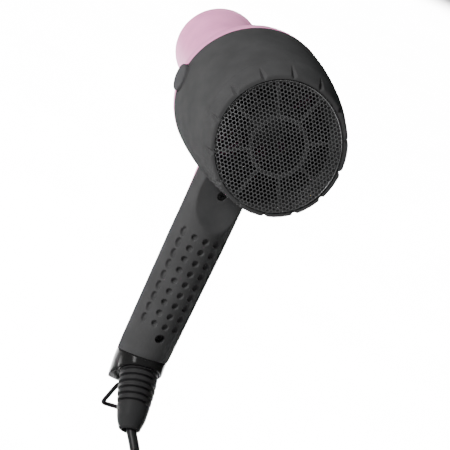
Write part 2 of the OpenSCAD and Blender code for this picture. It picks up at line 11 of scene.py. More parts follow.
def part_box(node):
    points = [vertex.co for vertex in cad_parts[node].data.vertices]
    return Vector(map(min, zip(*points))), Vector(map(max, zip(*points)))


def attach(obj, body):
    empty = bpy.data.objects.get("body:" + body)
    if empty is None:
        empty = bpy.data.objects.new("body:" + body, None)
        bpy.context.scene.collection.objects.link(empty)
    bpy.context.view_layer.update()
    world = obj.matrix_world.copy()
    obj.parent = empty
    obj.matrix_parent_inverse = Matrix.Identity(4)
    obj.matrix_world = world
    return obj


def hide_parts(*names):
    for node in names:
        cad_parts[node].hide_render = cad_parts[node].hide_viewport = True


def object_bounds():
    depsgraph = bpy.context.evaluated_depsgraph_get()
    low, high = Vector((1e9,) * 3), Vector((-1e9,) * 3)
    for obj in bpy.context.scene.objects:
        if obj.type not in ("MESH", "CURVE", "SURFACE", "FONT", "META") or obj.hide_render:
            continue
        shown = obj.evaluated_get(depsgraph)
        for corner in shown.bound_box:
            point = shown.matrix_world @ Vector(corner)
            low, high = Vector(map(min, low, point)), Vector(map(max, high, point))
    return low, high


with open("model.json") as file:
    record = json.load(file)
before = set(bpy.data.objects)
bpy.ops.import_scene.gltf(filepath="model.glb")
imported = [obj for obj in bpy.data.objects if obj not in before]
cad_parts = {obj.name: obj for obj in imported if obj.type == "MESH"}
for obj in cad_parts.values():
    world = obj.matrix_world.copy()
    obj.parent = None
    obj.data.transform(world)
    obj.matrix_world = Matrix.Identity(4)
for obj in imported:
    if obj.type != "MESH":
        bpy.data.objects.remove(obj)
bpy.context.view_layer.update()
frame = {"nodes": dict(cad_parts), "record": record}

# Sizes: the driving ones come from the frame, the rest describe the shape in between ----------

mm = 0.001
record = frame["record"]
mount = {m["name"]: m for m in record["mounts"]}
joint = {j["name"]: j for j in record["behaviour"]["joints"]}
nodes = frame["nodes"]

axis_z = mount["nozzle"]["pos_m"][2]
nozzle_r = mount["nozzle"]["dims"]["r_mm"] * mm
straight_len = mount["nozzle"]["dims"]["length_mm"] * mm
nose_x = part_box("front_housing")[1][0]
seam_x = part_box("rear_housing")[1][0]
peak_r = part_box("rear_housing")[1][1]
pull = joint["cover_pull"]["axis"]
rim_tilt = math.atan2(pull[2], -pull[0])
barrel_len = 198 * mm
rear_x = nose_x - barrel_len
rim_r = 46 * mm
peak_at = 72 * mm
wall = 2.4 * mm
gap = 0.3 * mm

# The front housing turns in through a round shoulder and a hollow fillet to the nozzle.
shoulder_r = 40 * mm
fillet_r = 20 * mm
nozzle_back_r = nozzle_r + 1 * mm


def rear_r(x):
    """Outside radius of the rear housing at a distance from the rim."""
    return rim_r + (peak_r - rim_r) * math.sin(math.pi / 2 * x / peak_at)


seam_at = seam_x - rear_x
seam_r = rear_r(seam_at)
flare_angle = math.acos(1 - (seam_r - nozzle_back_r) / (shoulder_r + fillet_r))
flare_len = (shoulder_r + fillet_r) * math.sin(flare_angle)


def shoulder_point(angle):
    """(x, radius) on the round shoulder, at an angle on from the seam."""
    return seam_x + shoulder_r * math.sin(angle), seam_r - shoulder_r * (1 - math.cos(angle))


def fillet_point(angle):
    """(x, radius) on the hollow fillet, at an angle back from the nozzle."""
    return seam_x + flare_len - fillet_r * math.sin(angle), nozzle_back_r + fillet_r * (1 - math.cos(angle))


def outer_r(x):
    """Outside radius of the barrel at any x between the rim and the middle of the flare."""
    if x <= seam_x:
        return rear_r(x - rear_x)
    angle = math.asin(min((x - seam_x) / shoulder_r, 1))
    return seam_r - shoulder_r * (1 - math.cos(angle))


# Small tools -----------------------------------------------------------------------------------


def mix(a, b, share):
    """The number a share of the way from a to b."""
    return a + (b - a) * share


def clamp(value, low=0.0, high=1.0):
    """The value kept between low and high."""
    return max(low, min(high, value))


def smoothstep(value):
    """0 to 1 with a soft start and a soft end."""
    value = clamp(value)
    return value * value * (3 - 2 * value)


def smooth_max(a, b, soft):
    """The larger of two numbers, blended where they are closer than soft."""
    share = clamp(0.5 + 0.5 * (a - b) / soft)
    return mix(b, a, share) + soft * share * (1 - share)


def spread(low, high, count):
    """count numbers from low to high, both ends in."""
    return [mix(low, high, i / (count - 1)) for i in range(count)]


def turns(count):
    """count angles evenly round a full turn."""
    return [i * math.tau / count for i in range(count)]


def along(table, value):
    """A value read off a table of (place, amount) pairs by straight lines."""
    for (x0, y0), (x1, y1) in zip(table, table[1:]):
        if value <= x1:
            return mix(y0, y1, clamp((value - x0) / (x1 - x0)))
    return table[-1][1]


class Shape:
    """Points and faces gathered for one mesh."""

    def __init__(self):
        self.points = []
        self.faces = []

    def grid(self, rows, close_rows=False, close_columns=False):
        """A surface through rows of points."""
        start, tall, wide = len(self.points), len(rows), len(rows[0])
        for row in rows:
            self.points.extend(row)
        for i in range(tall if close_rows else tall - 1):
            low, high = start + i * wide, start + (i + 1) % tall * wide
            for j in range(wide if close_columns else wide - 1):
                k = (j + 1) % wide
                self.faces.append((low + j, low + k, high + k, high + j))

    def disc(self, row):
        """A flat end over one closed row of points."""
        start = len(self.points)
        self.points.extend(row)
        self.faces.append(tuple(range(start, start + len(row))))

    def shell(self, outer, inner):
        """A wall between two open grids of the same size, closed round its four edges."""
        self.grid(outer)
        self.grid(inner)
        for edge in (0, -1):
            self.grid([outer[edge], inner[edge]])
            self.grid([[row[edge] for row in outer], [row[edge] for row in inner]])


def smooth(obj, angle=38):
    """Smooth shading that breaks only at edges sharper than the angle."""
    obj.data.shade_smooth()
    obj.data.set_sharp_from_angle(angle=math.radians(angle))


def build(name, shape, material, angle=38):
    """The object of a shape, welded, with its normals outward."""
    mesh = bpy.data.meshes.new(name)
    mesh.from_pydata(shape.points, [], shape.faces)
    weld = bmesh.new()
    weld.from_mesh(mesh)
    bmesh.ops.remove_doubles(weld, verts=weld.verts, dist=0.002 * mm)
    bmesh.ops.recalc_face_normals(weld, faces=weld.faces)
    weld.to_mesh(mesh)
    weld.free()
    mesh.materials.append(material)
    obj = bpy.data.objects.new(name, mesh)
    bpy.context.collection.objects.link(obj)
    smooth(obj, angle)
    return obj


def settle(obj, angle=38):
    """Turns an object's modifiers into its mesh."""
    made = bpy.data.meshes.new_from_object(obj.evaluated_get(bpy.context.evaluated_depsgraph_get()))
    obj.modifiers.clear()
    obj.data = made
    smooth(obj, angle)


def cut(obj, *cutters, angle=38):
    """Takes each cutter out of an object."""
    for cutter in cutters:
        step = obj.modifiers.new("cut", "BOOLEAN")
        step.operation = "DIFFERENCE"
        step.solver = "EXACT"
        step.object = cutter
    settle(obj, angle)
    for cutter in cutters:
        bpy.data.objects.remove(cutter)


def circle(placing, radius, distance, segments):
    """A ring of points about the Z axis of a frame."""
    return [placing @ Vector((radius * math.cos(a), radius * math.sin(a), distance))
            for a in turns(segments)]


def lathe(profile, placing, segments, close=True):
    """A turned surface: profile is (radius, distance along) pairs, and placing sets its axis."""
    rows = [circle(placing, radius, distance, segments) for radius, distance in profile]
    shape = Shape()
    shape.grid(rows, close_rows=close, close_columns=True)
    return shape


def axis_frame(origin, direction):
    """A frame at origin whose Z runs along a direction."""
    return Matrix.Translation(origin) @ Vector(direction).to_track_quat("Z", "Y").to_matrix().to_4x4()


def rounded_path(corners, radius, steps=6):
    """A route through corner points, with each inner corner rounded."""
    path = [Vector(corners[0])]
    for before, corner, after in zip(corners, corners[1:], corners[2:]):
        corner = Vector(corner)
        start = corner + (Vector(before) - corner).normalized() * radius
        end = corner + (Vector(after) - corner).normalized() * radius
        for share in spread(0, 1, steps):
            path.append(start.lerp(corner, share).lerp(corner.lerp(end, share), share))
    path.append(Vector(corners[-1]))
    return path


def tube(path, radius, sides=16):
    """A round bar along a path, with flat ends."""
    rows = []
    side = None
    for i, point in enumerate(path):
        ahead = (path[min(i + 1, len(path) - 1)] - path[max(i - 1, 0)]).normalized()
        side = ahead.orthogonal() if side is None else side - ahead * side.dot(ahead)
        side.normalize()
        up = ahead.cross(side)
        rows.append([point + radius * (math.cos(a) * side + math.sin(a) * up) for a in turns(sides)])
    shape = Shape()
    shape.grid(rows, close_columns=True)
    shape.disc(rows[0])
    shape.disc(rows[-1])
    return shape


def cylinder(start, end, radius, segments=64):
    """A plain round cutter between two points."""
    return build("cutter", tube([Vector(start), Vector(end)], radius, segments), blank)


def block(low, high):
    """A plain square cutter between two corners."""
    shape = Shape()
    rows = []
    for z in (low[2], high[2]):
        rows.append([Vector((x, y, z)) for x, y in
                     ((low[0], low[1]), (high[0], low[1]), (high[0], high[1]), (low[0], high[1]))])
    shape.grid(rows, close_columns=True)
    shape.disc(rows[0])
    shape.disc(rows[1])
    return build("cutter", shape, blank)


def moulded(node, name, voxel, passes, material):
    """A copy of a CAD node with its edges rounded, as they leave a mould."""
    obj = bpy.data.objects.new(name, nodes[node].data.copy())
    bpy.context.collection.objects.link(obj)
    obj.data.materials.clear()
    obj.data.materials.append(material)
    remesh = obj.modifiers.new("remesh", "REMESH")
    remesh.mode = "VOXEL"
    remesh.voxel_size = voxel
    relax = obj.modifiers.new("relax", "SMOOTH")
    relax.factor = 0.5
    relax.iterations = passes
    settle(obj, 180)
    return obj


def place(obj, body, slot, *replaced):
    """The piece rides on a body and stands for its CAD nodes; the slot is not used."""
    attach(obj, body)
    if replaced:
        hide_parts(*replaced)
    return obj


blank = bpy.data.materials.new("blank")

# Camera ----------------------------------------------------------------------------------------

camera_azimuth = math.radians(249.25)
camera_elevation = math.radians(16.85)
camera_roll = math.radians(25.34)
camera_distance = 1.2
camera_aside = 0.0346
camera_below = 0.0493
camera_lens = 151.7
camera_sensor = 36


def make_camera():
    """A long lens behind the intake, a little above it and to its left, and rolled."""
    level = Vector((math.cos(camera_azimuth), math.sin(camera_azimuth), 0))
    back = Vector((math.sin(camera_azimuth) * math.cos(camera_elevation),
                   -math.cos(camera_azimuth) * math.cos(camera_elevation), math.sin(camera_elevation)))
    upright = back.cross(level)
    right = math.cos(camera_roll) * level + math.sin(camera_roll) * upright
    up = back.cross(right)
    data = bpy.data.cameras.new("camera")
    data.lens = camera_lens
    data.sensor_width = camera_sensor
    camera = bpy.data.objects.new("camera", data)
    rim_centre = Vector((rear_x, 0, axis_z))
    camera.matrix_world = Matrix((right, up, back)).transposed().to_4x4()
    camera.location = rim_centre + camera_distance * back - camera_aside * right - camera_below * up
    bpy.context.collection.objects.link(camera)
    bpy.context.scene.camera = camera


make_camera()

# Materials -------------------------------------------------------------------------------------


def start_material(name):
    """A material with its shader, the object's own coordinates, and a node maker."""
    material = bpy.data.materials.new(name)
    material.use_nodes = True
    tree = material.node_tree
    shader = tree.nodes["Principled BSDF"]
    where = tree.nodes.new("ShaderNodeTexCoord").outputs["Object"]
    return material, tree, shader, where


def noise(tree, where, scale, detail=3, stretch=None):
    """A noise pattern of scale cells per metre, drawn out along an axis where stretch says."""
    if stretch:
        mapping = tree.nodes.new("ShaderNodeMapping")
        mapping.inputs["Scale"].default_value = stretch
        tree.links.new(where, mapping.inputs["Vector"])
        where = mapping.outputs["Vector"]
    texture = tree.nodes.new("ShaderNodeTexNoise")
    texture.inputs["Scale"].default_value = scale
    texture.inputs["Detail"].default_value = detail
    tree.links.new(where, texture.inputs["Vector"])
    return texture.outputs["Fac"]


def ranged(tree, source, low, high, start=0.3, end=0.7):
    """A pattern turned into a number between low and high."""
    spreader = tree.nodes.new("ShaderNodeMapRange")
    spreader.inputs["From Min"].default_value = start
    spreader.inputs["From Max"].default_value = end
    spreader.inputs["To Min"].default_value = low
    spreader.inputs["To Max"].default_value = high
    tree.links.new(source, spreader.inputs["Value"])
    return spreader.outputs["Result"]


def tinted(tree, source, dark, light, start=0.3, end=0.7):
    """A pattern turned into a colour between dark and light."""
    ramp = tree.nodes.new("ShaderNodeValToRGB")
    ramp.color_ramp.elements[0].position = start
    ramp.color_ramp.elements[0].color = (*dark, 1)
    ramp.color_ramp.elements[1].position = end
    ramp.color_ramp.elements[1].color = (*light, 1)
    tree.links.new(source, ramp.inputs["Fac"])
    return ramp.outputs["Color"]


def bumped(tree, shader, source, distance, strength=1.0, onto=None):
    """Relief of a depth in metres from a pattern, on top of earlier relief."""
    bump = tree.nodes.new("ShaderNodeBump")
    bump.inputs["Strength"].default_value = strength
    bump.inputs["Distance"].default_value = distance
    tree.links.new(source, bump.inputs["Height"])
    if onto:
        tree.links.new(onto, bump.inputs["Normal"])
    tree.links.new(bump.outputs["Normal"], shader.inputs["Normal"])
    return bump.outputs["Normal"]


def scaled(colour, share):
    """A darker or lighter copy of a colour."""
    return tuple(clamp(c * share) for c in colour)


def finish(name, colour, rough, grain=2500, depth=0.02 * mm, waver=0.08, metallic=0.0, stretch=None,
           specular=0.5):
    """A moulded or metal surface: fine grain, wavering gloss, faint mottling and hair scratches."""
    material, tree, shader, where = start_material(name)
    shader.inputs["Metallic"].default_value = metallic
    shader.inputs["Specular IOR Level"].default_value = specular
    mottle = noise(tree, where, 60, 5)
    tree.links.new(tinted(tree, mottle, scaled(colour, 0.88), scaled(colour, 1.1)),
                   shader.inputs["Base Color"])
    wear = noise(tree, where, 25, 4)
    tree.links.new(ranged(tree, wear, rough - waver / 2, rough + waver / 2), shader.inputs["Roughness"])
    fine = noise(tree, where, grain, 2, stretch)
    first = bumped(tree, shader, fine, depth)
    scratch = noise(tree, where, 900, 2, (1, 1, 0.03))
    bumped(tree, shader, ranged(tree, scratch, 0, 1, 0.62, 0.7), 0.004 * mm, 0.5, first)
    return material


def metal(name, colour, rough, metallic=1.0, grain=1500, stretch=None):
    """A metal surface with a fine even grain."""
    return finish(name, colour, rough, grain, 0.01 * mm, 0.1, metallic, stretch)


def board_material():
    """Green solder mask with copper tracks under it."""
    material, tree, shader, where = start_material("board_green")
    tracks = noise(tree, where, 500, 0, (0.2, 1, 1))
    tree.links.new(tinted(tree, tracks, (0.02, 0.11, 0.04), (0.06, 0.24, 0.09), 0.48, 0.52),
                   shader.inputs["Base Color"])
    shader.inputs["Roughness"].default_value = 0.35
    bumped(tree, shader, tracks, 0.03 * mm)
    return material


def mica_material():
    """Pressed mica: pale flakes in thin cloudy layers."""
    material, tree, shader, where = start_material("mica")
    flakes = noise(tree, where, 350, 6)
    tree.links.new(tinted(tree, flakes, (0.42, 0.33, 0.2), (0.72, 0.62, 0.45)), shader.inputs["Base Color"])
    tree.links.new(ranged(tree, flakes, 0.3, 0.6), shader.inputs["Roughness"])
    bumped(tree, shader, flakes, 0.05 * mm)
    return material


def floor_material():
    """A pale studio floor with a barely visible texture."""
    material, tree, shader, where = start_material("floor")
    cloud = noise(tree, where, 8, 4)
    tree.links.new(tinted(tree, cloud, (0.86, 0.86, 0.86), (0.9, 0.9, 0.9)), shader.inputs["Base Color"])
    shader.inputs["Roughness"].default_value = 0.9
    bumped(tree, shader, noise(tree, where, 400), 0.05 * mm)
    return material


# The plastics and the rubber hardly reflect, so that their edges stay dark before the bright floor.
charcoal = finish("soft_charcoal", (0.036, 0.036, 0.0365), 0.55, grain=3200, depth=0.035 * mm, specular=0)
pink = finish("satin_pink", (0.62, 0.22, 0.41), 0.42, grain=1800, depth=0.006 * mm, waver=0.06,
              specular=0.02)
gloss_black = finish("gloss_black", (0.008, 0.008, 0.008), 0.16, grain=900, depth=0.002 * mm, waver=0.05,
                     specular=0.02)
screen_metal = metal("screen_metal", (0.24, 0.24, 0.244), 0.22, metallic=0.85)
black_metal = metal("black_metal", (0.02, 0.02, 0.0205), 0.4, metallic=0.4)
support_grey = finish("support_grey", (0.02, 0.02, 0.0204), 0.45)
black_steel = metal("black_steel", (0.008, 0.008, 0.0082), 0.4, metallic=0.8)
inner_black = finish("inner_black", (0.01, 0.01, 0.01), 0.5)
fan_grey = finish("fan_grey", (0.025, 0.025, 0.026), 0.45)
steel = metal("steel", (0.55, 0.55, 0.56), 0.28, stretch=(1, 1, 0.05))
wire_metal = metal("heater_wire", (0.4, 0.36, 0.33), 0.35, grain=2500)
brass = metal("brass", (0.72, 0.5, 0.2), 0.3)
button_grey = finish("button_grey", (0.045, 0.045, 0.0465), 0.4, grain=2600, depth=0.012 * mm, waver=0.06,
                     specular=0)
switch_white = finish("switch_white", (0.75, 0.74, 0.7), 0.4)
relief_rubber = finish("relief_rubber", (0.018, 0.018, 0.0183), 0.42, grain=2600, specular=0.01)
lead_brown = finish("lead_brown", (0.16, 0.06, 0.025), 0.4)
cord_black = finish("cord_black", (0.01, 0.01, 0.0105), 0.3, grain=1200, specular=0.05)
tie_black = finish("tie_black", (0.025, 0.025, 0.026), 0.4)
plug_black = finish("plug_black", (0.02, 0.02, 0.021), 0.36, grain=2200)
nickel = finish("plug_nickel", (0.72, 0.7, 0.66), 0.18, grain=1500, depth=0.006 * mm, metallic=1)
board_green = board_material()
mica = mica_material()

# Mains lead ------------------------------------------------------------------------------------

cord_d = 7 * mm
# From the clamp through the strain relief and down to the hank, then from the hank to the plug.
cord_route = [(-0.025, 0, -0.090), (-0.032, 0, -0.097), (-0.039, -0.001, -0.104), (-0.050, -0.005, -0.112),
              (-0.058, -0.008, -0.120), (-0.063, -0.010, -0.130), (-0.066, -0.011, -0.142),
              (-0.066, -0.011, -0.160), (-0.066, -0.011, -0.176)]
tail_route = [(-0.066, -0.019, -0.270), (-0.065, -0.019, -0.285), (-0.060, -0.019, -0.299),
              (-0.050, -0.019, -0.309), (-0.037, -0.019, -0.315), (-0.024, -0.019, -0.316)]
hank_centre = Vector((-0.029, -0.015, -0.224))
hank_half = 31 * mm
# The lanes that the hank's turns lie in, as distances out from its middle line and across it.
lane_outs = [37 * mm, 29.5 * mm, 22 * mm]
lane_aside = 4 * mm
lanes = [(out, lane_aside) for out in lane_outs] + [(out, -lane_aside) for out in reversed(lane_outs)]
turn_count = len(lanes) - 1
turn_steps = 40
# Where in a turn the last one changes lane, and how much of a turn that takes, as shares of a turn.
crossing_start = 0.27
crossing_len = 0.145


def hank_point(out, aside, phase):
    """A point of one turn: down the left run, round the bottom, up the right run, round the top."""
    quarter = min(int(phase * 4), 3)
    share = phase * 4 - quarter
    x, z = [
        (-out, hank_half * (1 - 2 * share)),
        (-out * math.cos(math.pi * share), -hank_half - out * math.sin(math.pi * share)),
        (out, hank_half * (2 * share - 1)),
        (out * math.cos(math.pi * share), hank_half + out * math.sin(math.pi * share)),
    ][quarter]
    return hank_centre + Vector((x, aside, z))


def hank_points():
    """All the turns. Each moves to the next lane where the later ones have left it free."""
    points = []
    for turn in range(turn_count):
        leave = crossing_start + (turn_count - 1 - turn) * crossing_len
        for i in range(turn_steps):
            phase = i / turn_steps
            share = smoothstep((phase - leave) / crossing_len)
            out = mix(lanes[turn][0], lanes[turn + 1][0], share)
            aside = mix(lanes[turn][1], lanes[turn + 1][1], share)
            points.append(hank_point(out, aside, phase))
    last = lanes[turn_count]
    points += [hank_point(*last, i / turn_steps) for i in range(turn_steps // 4 + 1)]
    return points


def make_cord():
    """The whole lead as one smooth curve."""
    points = [Vector(p) for p in cord_route] + hank_points() + [Vector(p) for p in tail_route]
    curve = bpy.data.curves.new("mains_lead", "CURVE")
    curve.dimensions = "3D"
    curve.bevel_depth = cord_d / 2
    curve.bevel_resolution = 5
    curve.resolution_u = 5
    curve.use_fill_caps = True
    spline = curve.splines.new("BEZIER")
    spline.bezier_points.add(len(points) - 1)
    for knot, point in zip(spline.bezier_points, points):
        knot.co = point
        knot.handle_left_type = "AUTO"
        knot.handle_right_type = "AUTO"
    curve.materials.append(cord_black)
    obj = bpy.data.objects.new("mains_lead", curve)
    bpy.context.collection.objects.link(obj)
    return place(obj, "shell", "cord_black", "power_cord", "cord_hank", "cord_tail")


tie_width = 9 * mm
tie_thick = 1.3 * mm
tie_reach = (11.9 * mm, 8.3 * mm)
# How far out through the strap, and where across it, for each corner of its section.
tie_section = [(0, -0.5), (0.35, -0.42), (1, -0.5), (1, 0.5), (0.35, 0.42), (0, 0.5)]
tie_steps = 56
# Less than 1 squares the loop of the strap off.
tie_corner_power = 0.45


def squared(share, reach):
    """A cosine or sine drawn out towards the corners of a rounded box."""
    return math.copysign(abs(share) ** tie_corner_power, share) * reach


def make_tie(side):
    """A strap round one run of the hank."""
    middle = hank_centre + Vector((side * lane_outs[1], 0, 0))
    rows = []
    for grow, share in tie_section:
        reach_x, reach_y = [reach + (grow - 1) * tie_thick for reach in tie_reach]
        rows.append([middle + Vector((squared(math.cos(a), reach_x), squared(math.sin(a), reach_y),
                                      share * tie_width)) for a in turns(tie_steps)])
    shape = Shape()
    shape.grid(rows, close_rows=True, close_columns=True)
    return build("cord_tie_left" if side < 0 else "cord_tie_right", shape, tie_black)


cord = make_cord()
ties = [place(make_tie(side), "shell", "tie_black", "cord_ties") for side in (-1, 1)]
plug = moulded("mains_plug", "plug_body", 0.55 * mm, 6, plug_black)
place(plug, "shell", "plug_black", "mains_plug")

# Barrel ----------------------------------------------------------------------------------------

barrel_segments = 224
# Rounds that bring a point where two curved faces meet to rest.
settling_rounds = 12
seam_edge = 0.15 * mm
seam_gap = 0.12 * mm
bead_width = 1.5 * mm
bead_proud = 0.2 * mm
nozzle_edge = 1.1 * mm
# The chamfer inside the nozzle's mouth, as (radius over the bore, distance back) pairs.
mouth_chamfer = [(0.2 * mm, 0.1 * mm), (0, 0.5 * mm)]
button_low, button_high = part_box("side_button")
button_x = (button_low[0] + button_high[0]) / 2
button_r = (button_high[0] - button_low[0]) / 2
button_top = button_high[1]
button_gap = 0.6 * mm
collar_len = 14.5 * mm
lip_r = 46.4 * mm
mesh_r = 43.5 * mm
edge_steps = 4


def round_edge(edge):
    """A quarter round as (shift in from the end, depth under the face) pairs, from end to face."""
    angles = spread(0, math.pi / 2, edge_steps)
    return [(edge * (1 - math.cos(a)), edge * (1 - math.sin(a))) for a in angles]


def slanted_x(depth, angle):
    """x on the outer face where a plane that leans as the rim does, at a depth, crosses it."""
    x = rear_x + depth
    for _ in range(settling_rounds):
        x = rear_x + depth + outer_r(x) * math.sin(angle) * math.tan(rim_tilt)
    return x


def barrel_point(x, radius, angle):
    """A point at a distance and an angle round the barrel's axis."""
    return Vector((x, radius * math.cos(angle), axis_z + radius * math.sin(angle)))


def button_hole():
    """The round hole that the side button sits in."""
    return cylinder((button_x, seam_r / 2, axis_z), (button_x, seam_r * 2, axis_z), button_r + button_gap)


def rear_shell():
    """The charcoal barrel between the intake collar and the seam."""
    section = [(0, dx, inset) for dx, inset in round_edge(seam_edge)]
    section += [(share, 0, 0) for share in spread(0.04, 0.96, 26)]
    section += [(1, -dx, inset) for dx, inset in reversed(round_edge(seam_edge))]
    section += [(share, 0, wall) for share in spread(1, 0, 16)]
    rows = []
    for share, dx, inset in section:
        row = []
        for angle in turns(barrel_segments):
            back = slanted_x(collar_len, angle)
            x = mix(back, seam_x, share) + dx
            lean = inset * math.sin(angle) * math.tan(rim_tilt) * (1 - share)
            row.append(barrel_point(x - lean, outer_r(x) - inset, angle))
        rows.append(row)
    shape = Shape()
    shape.grid(rows, close_rows=True, close_columns=True)
    return build("rear_shell", shape, charcoal)


def front_section():
    """The cut wall of the front housing as (radius, x) pairs: bead, shoulder, fillet, nozzle, bore."""
    section = [(seam_r - wall, seam_x)]
    section += [(seam_r + bead_proud * math.sin(q), seam_x + bead_width / 2 * (1 - math.cos(q)))
                for q in spread(0, math.pi, 9)]
    first = math.asin(bead_width / shoulder_r)
    flare = [shoulder_point(a) for a in spread(first, flare_angle, 22)]
    flare += [fillet_point(a) for a in spread(flare_angle, 0, 16)[1:]]
    flare.append((nose_x - straight_len, nozzle_r))
    straight = [(nose_x - length, nozzle_r) for length in spread(straight_len, 1 * mm, 7)[1:-1]]
    section += [(radius, x) for x, radius in flare + straight]
    section += [(nozzle_r - inset, nose_x - dx) for dx, inset in reversed(round_edge(nozzle_edge))]
    section += [(nozzle_r - wall + over, nose_x - dx) for over, dx in mouth_chamfer]
    section += [(radius - wall, x) for x, radius in reversed(flare)]
    return section


def nozzle_part():
    """The turned part of the pink front housing."""
    place_x = Matrix.Translation((0, 0, axis_z)) @ Matrix.Rotation(math.pi / 2, 4, "Y")
    return build("front_shell", lathe(front_section(), place_x, barrel_segments), pink)


# Intake collar ---------------------------------------------------------------------------------

notch_count = 14
notch_phase = math.radians(16)
notch_half = 2.2 * mm
notch_depth = 2.1 * mm
# How far along the collar a notch runs out, and how narrow it gets there, as shares.
notch_reach = 0.7
notch_narrow = 0.3
# Columns across a notch, as places from its middle (0) to its edges (-1 and 1).
notch_places = [-1.25, -1, -0.75, -0.4, -0.12, 0.12, 0.4, 0.75, 1, 1.25]
lip_edge = 1.3 * mm
# The skirt slides into the barrel, and the screen lies in the seat.
skirt_len = 5 * mm
skirt_slack = 0.1 * mm
seat_slack = 0.1 * mm
seat_depth = 3 * mm
rim_frame = axis_frame((rear_x, 0, axis_z), (math.cos(rim_tilt), 0, -math.sin(rim_tilt)))
to_rim = rim_frame.inverted()


def collar_columns():
    """(notch centre angle, place across the notch or None, plain angle) for each column of the collar."""
    pitch = math.tau / notch_count
    # The rim frame's own angle runs from straight down round towards the left side.
    first = math.radians(-90) + notch_phase
    half = notch_half / rim_r
    columns = []
    for i in range(notch_count):
        centre = first + i * pitch
        columns += [(centre, side, centre + side * half) for side in notch_places]
        start = centre + notch_places[-1] * half
        end = centre + pitch + notch_places[0] * half
        columns += [(centre, None, angle) for angle in spread(start, end, 9)[1:-1]]
    return columns


def collar_point(angle, share, inset, dx, deep):
    """A point of the collar's outer face: share 0 is the rim and 1 the seam with the barrel."""
    back = slanted_x(0, angle)
    front = slanted_x(collar_len, angle) - seam_gap
    x = mix(back, front, share) + dx
    local = to_rim @ barrel_point(x, outer_r(x), angle)
    ring = math.hypot(local.x, local.y)
    start = to_rim @ barrel_point(back, outer_r(back), angle)
    # The barrel's own edge is oval here, and the lip is round.
    excess = max(math.hypot(start.x, start.y) - lip_r, 0) * (1 - share)
    scale = (ring - excess - inset - deep) / ring
    return rim_frame @ Vector((local.x * scale, local.y * scale, local.z))


def collar_row(columns, share, inset, dx):
    """A row round the collar's outer face, sunk where it crosses the notches."""
    fade = clamp(1 - share / notch_reach)
    row = []
    for centre, side, angle in columns:
        deep = 0
        if side is not None:
            angle = centre + side * notch_half / rim_r * mix(notch_narrow, 1, fade)
            deep = notch_depth * clamp(1 - abs(side)) * fade ** 0.8
        row.append(collar_point(angle, share, inset, dx, deep))
    return row


def collar_ring(columns, radius, depth):
    """A plain ring about the rim's axis, in step with the columns."""
    row = []
    for _, _, angle in columns:
        outer = to_rim @ barrel_point(slanted_x(0, angle), outer_r(rear_x), angle)
        turn = math.atan2(outer.y, outer.x)
        row.append(rim_frame @ Vector((radius * math.cos(turn), radius * math.sin(turn), depth)))
    return row


def collar_shell():
    """The pull-off intake collar: a slanted ring with a round lip and finger notches."""
    columns = collar_columns()
    outside = [(0, inset, dx) for dx, inset in round_edge(lip_edge)]
    outside += [(share, 0, 0) for share in spread(0.14, 0.97, 18)]
    outside += [(1, inset, -dx) for dx, inset in reversed(round_edge(seam_edge))]
    # From the skirt to the screen's seat and the lip, as (radius, depth).
    skirt = collar_len * math.cos(rim_tilt)
    skirt_r, bore_r, seat_r = mesh_r - skirt_slack, mesh_r - 3 * mm, mesh_r + seat_slack
    inside = [(skirt_r, skirt - 0.4 * mm), (skirt_r, skirt + skirt_len), (bore_r, skirt + skirt_len),
              (bore_r, seat_depth), (seat_r, seat_depth), (seat_r, 0.35 * mm),
              (mesh_r + 0.35 * mm, 0.1 * mm)]
    notch_floor_r = lip_r - lip_edge - notch_depth
    inside += [(mix(mesh_r, notch_floor_r, share), 0) for share in (0.25, 0.5, 0.75)]
    rows = [collar_row(columns, *place_on) for place_on in outside]
    rows += [collar_ring(columns, radius, depth) for radius, depth in inside]
    shape = Shape()
    shape.grid(rows, close_rows=True, close_columns=True)
    return build("collar_shell", shape, charcoal, 28)


# Intake screen ---------------------------------------------------------------------------------

hole_pitch = 2.62 * mm
hole_r = 1.16 * mm
screen_depth = 1.1 * mm
screen_dome = 0.9 * mm
screen_thick = 0.3 * mm
hole_sides = 12
# The holes' middles lie inside this radius.
field_r = mesh_r - 1.1 * mm
# The plain band round the holes slopes down to its seat.
band_r = mesh_r - 1.2 * mm
band_lift = 0.05 * mm
band_deep = 1.6 * mm
band_steps = 120


def screen_ring(x, y, radii, sunk=0.0):
    """A closed row of points on the domed screen round a place, one for each radius."""
    row = []
    for radius, angle in zip(radii, turns(len(radii))):
        px, py = x + radius * math.cos(angle), y + radius * math.sin(angle)
        bulge = screen_dome * (1 - (px * px + py * py) / mesh_r ** 2)
        row.append(rim_frame @ Vector((px, py, screen_depth + sunk - bulge)))
    return row


def screen_mesh():
    """The perforated screen: a round field of six-sided cells, each with its round hole."""
    shape = Shape()
    reach = int(mesh_r / hole_pitch) + 2
    apothem = hole_pitch / 2
    # Corners and side middles of a cell, in step with the points round its hole.
    cell = [apothem if k % 2 == 0 else apothem / math.cos(math.pi / 6) for k in range(hole_sides)]
    hole = [hole_r] * hole_sides
    for row in range(-reach, reach + 1):
        for column in range(-reach, reach + 1):
            x = (column + (row % 2) / 2) * hole_pitch
            y = row * hole_pitch * math.cos(math.pi / 6)
            if math.hypot(x, y) <= field_r:
                shape.grid([screen_ring(x, y, cell), screen_ring(x, y, hole)], close_columns=True)
    shape.grid([screen_ring(0, 0, [band_r] * band_steps, -band_lift),
                screen_ring(0, 0, [mesh_r] * band_steps, band_deep)], close_columns=True)
    obj = build("screen_mesh", shape, screen_metal, 30)
    thick = obj.modifiers.new("thick", "SOLIDIFY")
    thick.thickness = screen_thick
    thick.offset = -1
    settle(obj, 30)
    return obj


# Handle ----------------------------------------------------------------------------------------

